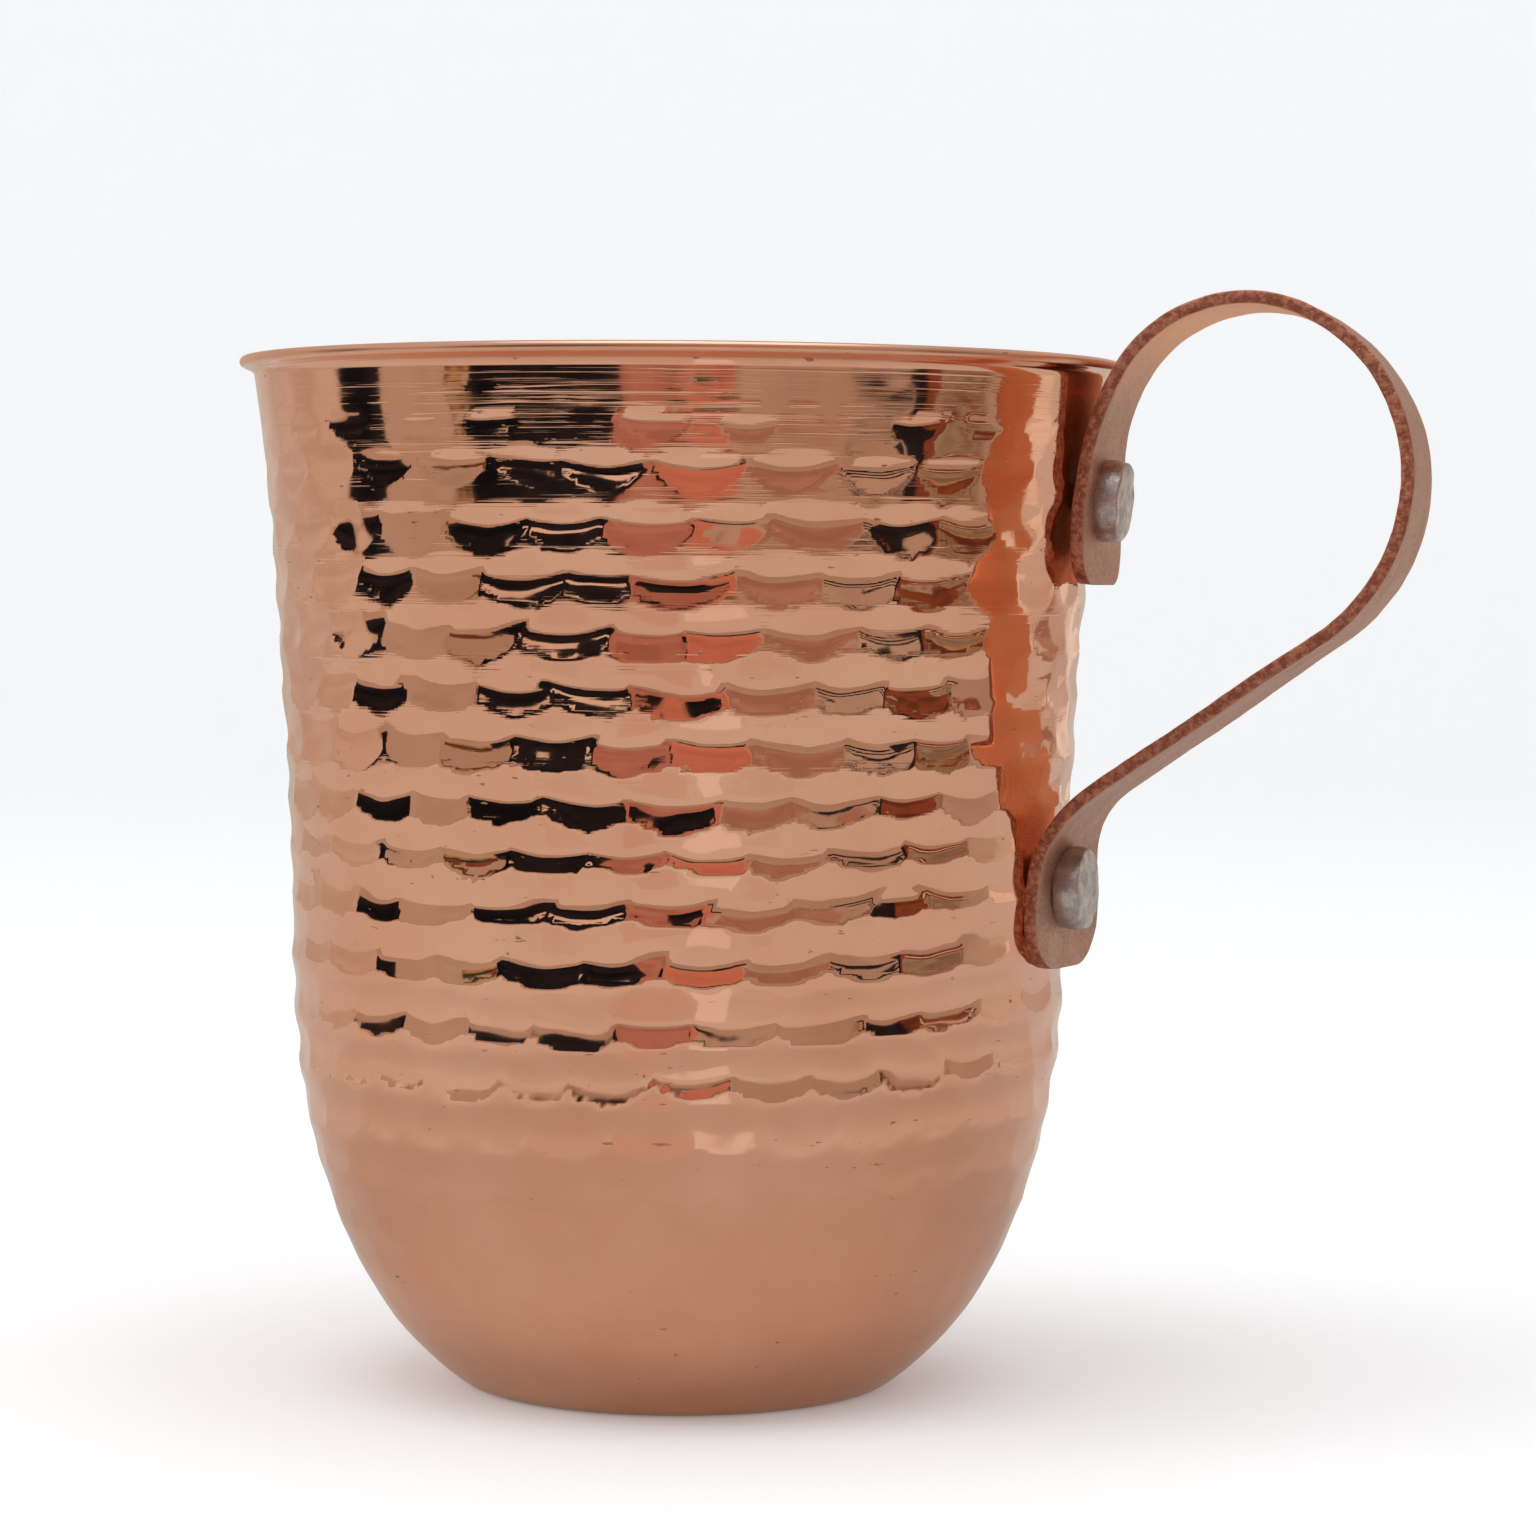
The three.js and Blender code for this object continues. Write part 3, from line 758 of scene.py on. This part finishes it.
def make_rivet(name, height, material, sunk, face_tilt, seed):
    radius, lean = wall_at(height)
    skew = skew_at(height)
    seat = turned_about_z(radius - sunk, 0, height, skew)
    outward = turned_about_z(math.cos(lean), 0, -math.sin(lean), skew - RIVET_CROOK)
    sideways = turned_about_z(0, 1, 0, skew - RIVET_CROOK)
    upward = np.cross(outward, sideways)
    outline = rivet_outline()
    vertices = []
    for r, out in outline:
        on_head = float(smoothstep(UNEVEN_START, UNEVEN_END, out))
        on_face = on_head * float(smoothstep(UNEVEN_END, HEAD_END, out))
        for turn in full_circle(RIVET_AROUND):
            across, up = math.cos(turn), math.sin(turn)
            lump = lumps(across * LUMP_ROUND, up * LUMP_ROUND, out * LUMP_RISE + seed)
            pace = r * DENT_ACROSS
            dent = lumps(across * pace, up * pace, out * DENT_RISE + seed + 30)
            swell = 1 + on_head * (ROUND_LUMP * lump + ROUND_DENT * dent)
            rise = on_face * (FACE_DENT * dent + face_tilt * across * r + FACE_LUMP * lump)
            round_head = across * sideways + up * upward
            vertices.append(seat + (out + rise) * outward + r * swell * round_head)
    faces = tube_faces(len(outline), RIVET_AROUND)
    vertices, faces = merge_poles(vertices, faces, RIVET_AROUND)
    make_piece(name + "_hammered", vertices, faces, material, "rivet_aluminium", [name], RIVET_SHARP)


def merge_poles(vertices, faces, around):
    """Joins the first and the last ring of a lathed shape, whose radius is 0, into one vertex each."""
    top = len(vertices) - 2 * around + 1
    first, last = np.mean(vertices[:around], axis=0), np.mean(vertices[-around:], axis=0)
    new_faces = []
    for face in faces:
        corners = [min(max(i - around + 1, 0), top) for i in face]
        new_faces.append(tuple(dict.fromkeys(corners)))
    return [first, *vertices[around:-around], last], new_faces


# ---- materials


class Nodes:
    """A short way to write a material's nodes."""

    def __init__(self, name):
        self.material = bpy.data.materials.new(name)
        self.material.use_nodes = True
        self.tree = self.material.node_tree
        self.shader = self.tree.nodes["Principled BSDF"]

    def add(self, kind, inputs=None, **settings):
        node = self.tree.nodes.new(kind)
        for key, value in settings.items():
            setattr(node, key, value)
        for key, value in (inputs or {}).items():
            self.set(node.inputs[key], value)
        return node

    def set(self, socket, value):
        if isinstance(value, bpy.types.NodeSocket):
            self.tree.links.new(value, socket)
        elif isinstance(value, tuple) and socket.type == "RGBA":
            socket.default_value = (*value, 1)
        else:
            socket.default_value = value

    def surface(self, **inputs):
        """Sets the surface's inputs, whose names are written with _ for each space."""
        for name, value in inputs.items():
            self.set(self.shader.inputs[name.replace("_", " ")], value)
        return self.material

    def math(self, operation, a, b):
        return self.add("ShaderNodeMath", {0: a, 1: b}, operation=operation).outputs[0]

    def add_up(self, *parts):
        total = parts[0]
        for part in parts[1:]:
            total = self.math("ADD", total, part)
        return total

    def times(self, a, b):
        return self.math("MULTIPLY", a, b)

    def mix(self, factor, a, b):
        """Colour a where factor is 0 and b where it is 1."""
        inputs = {"Factor": factor, "A": a, "B": b}
        return self.add("ShaderNodeMix", inputs, data_type="RGBA").outputs["Result"]

    def remap(self, value, low, high, to_low=0, to_high=1):
        inputs = dict(enumerate((value, low, high, to_low, to_high)))
        return self.add("ShaderNodeMapRange", inputs, clamp=True).outputs[0]

    def place(self, scale=(1, 1, 1)):
        """Coordinates on the object in metres, stretched."""
        coordinates = self.add("ShaderNodeTexCoord").outputs["Object"]
        return self.add("ShaderNodeMapping", {"Vector": coordinates, "Scale": scale}).outputs[0]

    def noise(self, scale, detail, roughness, stretch=(1, 1, 1)):
        inputs = {"Vector": self.place(stretch), "Scale": scale}
        inputs |= {"Detail": detail, "Roughness": roughness}
        return self.add("ShaderNodeTexNoise", inputs).outputs[0]

    def attribute(self, name):
        return self.add("ShaderNodeAttribute", attribute_name=name).outputs["Fac"]

    def bumps(self, *layers):
        """The normal of a surface with layers of (height from 0 to 1, metres at height 1)."""
        below = {}
        for height, distance in layers:
            inputs = {"Height": height, "Distance": distance, "Strength": 1.0, **below}
            normal = self.add("ShaderNodeBump", inputs).outputs[0]
            below = {"Normal": normal}
        return normal


def polished_copper():
    """Bright copper: turning lines where the hammer never struck, fine wear, and a faint bloom."""
    n = Nodes("polished_copper")
    turned = n.attribute("turned")
    bloom = n.noise(55, 3.0, 0.55)
    cloud = n.noise(160, 4.0, 0.6)
    few = n.noise(90, 2.0, 0.5)
    pits = n.add("ShaderNodeTexVoronoi", {"Vector": n.place(), "Scale": 330.0}).outputs["Distance"]
    pit = n.times(n.remap(pits, 0.04, 0.08, 1, 0), n.remap(few, 0.63, 0.68))
    dashes = n.noise(1.0, 2.0, 0.6, (420, 420, 1900))
    dash = n.times(n.remap(dashes, 0.70, 0.73), n.remap(few, 0.50, 0.58))
    flaw = n.math("MAXIMUM", pit, n.times(dash, 0.8))

    fresh, ruddy = (0.86, 0.485, 0.335), (0.82, 0.425, 0.28)
    dull, dark = (0.70, 0.35, 0.23), (0.20, 0.075, 0.05)
    colour = n.mix(n.remap(bloom, 0.35, 0.68), fresh, ruddy)
    colour = n.mix(n.times(n.remap(cloud, 0.45, 0.75), 0.25), colour, dull)
    colour = n.mix(n.times(flaw, 0.75), colour, dark)

    rough = n.add_up(
        n.remap(cloud, 0.3, 0.75, 0.03, 0.065),
        n.times(n.attribute("satin"), 0.075),
        n.times(turned, 0.02),
        n.times(flaw, 0.35),
    )

    streaks = n.remap(n.noise(1.0, 2.0, 0.6, (32, 32, 1700)), 0.55, 0.74)
    thin_streaks = n.remap(n.noise(1.0, 2.0, 0.6, (28, 28, 3900)), 0.57, 0.72)
    hairlines = n.noise(1.0, 2.0, 0.6, (45, 45, 9000))
    normal = n.bumps(
        (n.times(streaks, turned), 0.000035),
        (n.times(thin_streaks, turned), 0.000008),
        (n.times(hairlines, n.add_up(turned, 0.04)), 0.000003),
        (n.noise(300, 2.0, 0.5), 0.000006),
        (n.times(flaw, -1.0), 0.00002),
    )
    return n.surface(Base_Color=colour, Metallic=1.0, Roughness=rough, Normal=normal)


def matt_copper():
    """Strap copper: matt and grainy on its faces, dark with bright specks on its sheared edges, and
    painted a brighter orange, as painted light, on the faces towards the cup.
    """
    n = Nodes("matt_copper")
    edge = n.attribute("edge")
    grain = n.noise(2600, 3.0, 0.7)
    speck = n.noise(1500, 2.0, 0.6)
    blotch = n.noise(260, 4.0, 0.65)
    broad = n.noise(60, 3.0, 0.6)

    light, brown, painted_light_towards_cup = (0.60, 0.355, 0.27), (0.47, 0.255, 0.18), (0.97, 0.52, 0.30)
    pinkish, dark = (0.64, 0.45, 0.38), (0.30, 0.145, 0.11)
    face = n.mix(n.remap(blotch, 0.3, 0.7), light, brown)
    face = n.mix(n.times(n.remap(broad, 0.5, 0.75), 0.45), face, pinkish)
    face = n.mix(n.times(n.remap(grain, 0.5, 0.72), 0.55), face, dark)
    # painted light: the faces towards the cup are painted a brighter orange than the rest
    face = n.mix(n.times(n.attribute("inner"), 0.9), face, painted_light_towards_cup)

    torn, sheared, bright = (0.36, 0.13, 0.085), (0.58, 0.27, 0.18), (0.80, 0.42, 0.28)
    cut = n.mix(n.remap(speck, 0.42, 0.62), torn, sheared)
    cut = n.mix(n.remap(grain, 0.62, 0.7), cut, bright)

    rough = n.add_up(n.remap(grain, 0.3, 0.7, 0.40, 0.58), n.times(edge, 0.08))
    normal = n.bumps((grain, 0.00005), (blotch, 0.00008), (n.times(speck, edge), 0.00016))
    return n.surface(Base_Color=n.mix(edge, face, cut), Metallic=1.0, Roughness=rough, Normal=normal)


def rivet_aluminium():
    """Aluminium with hammer scuffs, grey blotches and fine scratches."""
    n = Nodes("rivet_aluminium")
    blotch = n.noise(700, 4.0, 0.65)
    scuff = n.noise(1.0, 3.0, 0.7, (900, 900, 4200))
    grain = n.noise(5200, 2.0, 0.6)
    light, grey, dark = (0.66, 0.63, 0.62), (0.42, 0.385, 0.39), (0.30, 0.27, 0.27)
    colour = n.mix(n.remap(blotch, 0.35, 0.65), light, grey)
    colour = n.mix(n.times(n.remap(grain, 0.5, 0.7), 0.5), colour, dark)
    rough = n.remap(blotch, 0.3, 0.7, 0.26, 0.46)
    normal = n.bumps((blotch, 0.00012), (scuff, 0.00003), (grain, 0.000012))
    return n.surface(Base_Color=colour, Metallic=1.0, Roughness=rough, Normal=normal)


# ---- studio


HANDLE_TOWARDS_CAMERA = math.radians(18)
CARD_RING = 0.255

# The backdrop: a flat floor that bends up into a wall, in metres.
FLOOR_RADIUS, FLOOR_BEND, BACKDROP_TOP = 1.2, 0.8, 1.4
BACKDROP_COLUMNS, BACKDROP_STEPS = 96, 14
FLOOR_COLOUR, FLOOR_GLOW = (0.94, 0.94, 0.935), 0.14
AIR_COLOUR, AIR_STRENGTH = (0.93, 0.95, 1.0, 1), 0.55

# Name, place, side in metres, power.
LAMPS = [("overhead", (0.1, -0.25, 1.5), 1.3, 9.0), ("left_window", (-1.25, -0.75, 0.85), 0.8, 3.6)]
LAMPS_AIM = Vector((0, 0, 0.05))


def matt_glow(n, colour, glow_colour, glow):
    """A matt surface that also glows, so that its shading stays soft."""
    n.surface(Base_Color=colour, Roughness=1.0, Specular_IOR_Level=0.0)
    return n.surface(Emission_Color=glow_colour, Emission_Strength=glow)


def make_stage(name, vertices, faces, material):
    """A piece of the studio, with its vertices in metres."""
    mesh = bpy.data.meshes.new(name)
    mesh.from_pydata(vertices, [], faces)
    mesh.materials.append(material)
    piece = bpy.data.objects.new(name, mesh)
    bpy.context.scene.collection.objects.link(piece)
    return piece


def make_backdrop():
    outline = [(0.0001, 0), (0.3, 0), (0.7, 0), (FLOOR_RADIUS, 0)]
    for turn in np.linspace(0, math.pi / 2, BACKDROP_STEPS)[1:]:
        out, up = FLOOR_BEND * math.sin(turn), FLOOR_BEND * (1 - math.cos(turn))
        outline.append((FLOOR_RADIUS + out, up))
    outline.append((FLOOR_RADIUS + FLOOR_BEND, BACKDROP_TOP))
    vertices = []
    for radius, height in outline:
        for turn in full_circle(BACKDROP_COLUMNS):
            vertices.append(place_round(radius, turn, height))
    floor = matt_glow(Nodes("studio_floor"), FLOOR_COLOUR, FLOOR_COLOUR, FLOOR_GLOW)
    faces = tube_faces(len(outline), BACKDROP_COLUMNS)
    mesh = make_stage("backdrop", vertices, faces, floor).data
    mesh.polygons.foreach_set("use_smooth", [True] * len(mesh.polygons))


def make_mirrored(name, first, last, steps, edges, material):
    """A strip seen only in the copper, between two (radius, height) edges in metres."""
    vertices = []
    for i in range(steps + 1):
        right = math.radians(first + (last - first) * i / steps)
        turn = right - math.pi / 2 + HANDLE_TOWARDS_CAMERA
        vertices += [place_round(radius, turn, height) for radius, height in edges]
    faces = [(a, a + 2, a + 3, a + 1) for a in range(0, 2 * steps, 2)]
    strip = make_stage(name, vertices, faces, material)
    for ray in ("camera", "diffuse", "shadow", "transmission", "volume_scatter"):
        setattr(strip, "visible_" + ray, False)


def card_material(name, colour, second, scale):
    """A glowing card in two tones, seen only in the copper, where it paints a reflection."""
    n = Nodes(name)
    tone = n.remap(n.noise(scale, 3.0, 0.6), 0.42, 0.6)
    return matt_glow(n, (0, 0, 0), n.mix(tone, colour, second), 1.0)


def make_card(name, material, first, last, low, high, front=0):
    """An upright card. Heights are in millimetres."""
    radius = CARD_RING - front * MM
    steps = max(2, int(abs(last - first) / 2))
    make_mirrored(name, first, last, steps, [(radius, low * MM), (radius, high * MM)], material)


def make_table_part(name, first, last, near, far, lift, material):
    """A part of a ring that lies on the table. Lengths are in millimetres."""
    steps = max(4, int((last - first) / 3))
    edges = [(far * MM, lift * MM), (near * MM, lift * MM)]
    make_mirrored(name, first, last, steps, edges, material)


# The cards glow and are seen only in the copper: they paint its reflections, light and dark.
# Two colours of each tone, and how small its patches are.
CARD_TONES = {
    "black": ((0.006, 0.008, 0.012), (0.022, 0.02, 0.024), 18.0),
    "brick": ((0.38, 0.18, 0.13), (0.49, 0.25, 0.20), 30.0),
    "orange": ((0.60, 0.26, 0.19), (0.50, 0.20, 0.15), 25.0),
    "wall": ((0.50, 0.43, 0.37), (0.43, 0.36, 0.30), 12.0),
    "haze": ((0.64, 0.58, 0.52), (0.56, 0.49, 0.42), 14.0),
    "pale": ((0.80, 0.74, 0.66), (0.66, 0.58, 0.50), 20.0),
    "brown": ((0.36, 0.22, 0.17), (0.46, 0.30, 0.24), 40.0),
    "olive": ((0.34, 0.30, 0.22), (0.22, 0.17, 0.12), 60.0),
    "gold": ((0.50, 0.34, 0.15), (0.14, 0.07, 0.04), 120.0),
    "cream": ((0.86, 0.78, 0.69), (0.70, 0.60, 0.50), 20.0),
    "green": ((0.035, 0.10, 0.06), (0.02, 0.03, 0.03), 60.0),
    "rust": ((0.24, 0.08, 0.04), (0.12, 0.04, 0.03), 50.0),
}

# Tone, first and last angle to the right of the camera, lowest and highest height in millimetres, and
# how many millimetres the card stands in front of the ring, where it does.
CARDS = [
    ("wall", -97, 97, 28, 330, -2),
    ("haze", 97, 263, 28, 330, -2),
    ("black", -96, -80.5, 42, 190),
    ("black", -53.5, -15, 42, 190),
    ("brick", -15, -4, 42, 190),
    ("brick", -4, 2, 56, 150),
    ("black", -3.4, 1, 68, 104, 1),
    ("black", -4, 2, 150, 190),
    ("orange", -4.8, -4, 42, 190),
    ("brick", -4, 2, 42, 56),
    ("orange", 2, 12.5, 48, 190),
    ("green", 3, 14, 42, 48, 1),
    ("black", 8, 14, 44, 50, 2),
    ("brown", 14, 28, 62, 190),
    ("brown", 28, 41, 64, 120),
    ("black", 41, 57, 58, 66),
    ("black", 43, 58, 74, 80),
    ("black", 46, 58, 88, 94),
    ("black", 57.5, 62, 42, 190),
    ("rust", 62, 66.5, 42, 190),
    ("rust", 66, 83, 42, 50),
    ("pale", 67, 83, 50, 53),
    ("rust", 66, 83, 53, 58),
    ("olive", 67, 83, 58, 88),
    ("gold", 66, 83, 88, 91),
    ("rust", 64, 83, 91, 104),
    ("olive", 67, 83, 104, 180),
    ("pale", -47, -38, 90, 102, 3),
    ("pale", -31, -19, 86, 98, 3),
    ("gold", -60, -53.5, 54, 64),
    ("green", -60, -52, 64, 70, 1),
    ("rust", -59, -54, 70, 79, 1),
    ("cream", 101, 109, 50, 140),
    ("brown", 118, 122, 36, 190),
    ("cream", 134, 148, 44, 90),
    ("cream", 168, 192, 30, 120),
]


# Name, first and last angle, nearest and furthest distance from the mug's middle in millimetres,
# colour, glow.
# Each part glows and is seen only in the copper, as a painted reflection: the darker ones are painted
# shade, the light one a painted highlight.
TABLE_PARTS = [
    ("table_painted_shade_ruddy", -14, 1, 100, 230, (0.60, 0.50, 0.43), 0.06),
    ("table_painted_highlight", 3, 13, 108, 240, (0.74, 0.71, 0.67), 0.10),
    ("table_painted_shade_dusky", 16, 27, 116, 240, (0.60, 0.54, 0.47), 0.06),
    ("table_painted_shade_dusky_left", -38, -27, 150, 250, (0.60, 0.54, 0.48), 0.06),
]
TABLE_NEAR, TABLE_FAR = 0.1, 1100
TABLE_LIFT, PART_LIFT = 0.06, 0.08  # above the floor


def table_material():
    """The table as the copper mirrors it, with painted light and shade: a little lighter at the mug's
    foot, and darker round it as a painted shadow.
    """
    n = Nodes("table_reflection_painted_shade")
    foot, around, further = (0.62, 0.575, 0.52), (0.545, 0.505, 0.46), (0.62, 0.58, 0.53)
    away = n.add("ShaderNodeVectorMath", {0: n.place()}, operation="LENGTH").outputs["Value"]
    # painted shadow round the mug's foot, with painted light at the foot itself
    near = n.mix(n.remap(away, 0.036, 0.066), foot, around)
    colour = n.mix(n.remap(away, 0.075, 0.19), near, further)
    # the glow is stronger at the foot: painted light
    return matt_glow(n, colour, colour, n.remap(away, 0.036, 0.08, 0.13, 0.07))


def make_studio():
    make_backdrop()
    make_table_part("table_reflection_painted_shade", -180, 180, TABLE_NEAR, TABLE_FAR, TABLE_LIFT, table_material())
    for name, first, last, near, far, colour, glow in TABLE_PARTS:
        material = matt_glow(Nodes(name), colour, colour, glow)
        make_table_part(name, first, last, near, far, PART_LIFT, material)

    made = {tone: card_material("card_" + tone, *look) for tone, look in CARD_TONES.items()}
    for i, (tone, *place) in enumerate(CARDS):
        make_card(f"card_{i}_{tone}", made[tone], *place)

    world = bpy.data.worlds.new("studio_air")
    world.use_nodes = True
    background = world.node_tree.nodes["Background"]
    background.inputs["Color"].default_value = AIR_COLOUR
    background.inputs["Strength"].default_value = AIR_STRENGTH
    bpy.context.scene.world = world

    for name, place, size, power in LAMPS:
        lamp = bpy.data.lights.new(name, "AREA")
        lamp.shape = "SQUARE"
        lamp.size = size
        lamp.energy = power
        holder = bpy.data.objects.new(name, lamp)
        holder.location = place
        holder.rotation_euler = (LAMPS_AIM - Vector(place)).to_track_quat("-Z", "Y").to_euler()
        bpy.context.scene.collection.objects.link(holder)


CAMERA_DISTANCE, CAMERA_HEIGHT = 0.446, 0.0841
CAMERA_LENS, SENSOR_WIDTH, CLIP = 101.9, 36, (0.01, 20)
CAMERA_PITCH, CAMERA_YAW, CAMERA_ROLL = 0.0472, 0.0202, 0.0074


def make_camera():
    """The photograph's view: down a little, slightly askew, with the handle turned to the camera."""
    lens = bpy.data.cameras.new("camera")
    lens.lens = CAMERA_LENS
    lens.sensor_width = SENSOR_WIDTH
    lens.clip_start, lens.clip_end = CLIP
    camera = bpy.data.objects.new("camera", lens)
    camera.matrix_world = (
        Matrix.Rotation(HANDLE_TOWARDS_CAMERA, 4, "Z")
        @ Matrix.Translation((0, -CAMERA_DISTANCE, CAMERA_HEIGHT))
        @ Matrix.Rotation(-CAMERA_YAW, 4, "Z")
        @ Matrix.Rotation(math.pi / 2 - CAMERA_PITCH, 4, "X")
        @ Matrix.Rotation(CAMERA_ROLL, 4, "Z")
    )
    bpy.context.scene.collection.objects.link(camera)
    bpy.context.scene.camera = camera


make_camera()
make_studio()
make_cup(polished_copper())
make_strap(matt_copper())
aluminium = rivet_aluminium()
make_rivet("upper_rivet", UPPER_RIVET_HEIGHT, aluminium, sunk=0.0, face_tilt=-0.02, seed=3.0)
make_rivet("lower_rivet", LOWER_RIVET_HEIGHT, aluminium, sunk=SEAT_DEPTH, face_tilt=-0.03, seed=14.0)
bpy.context.scene.view_settings.view_transform = "Standard"
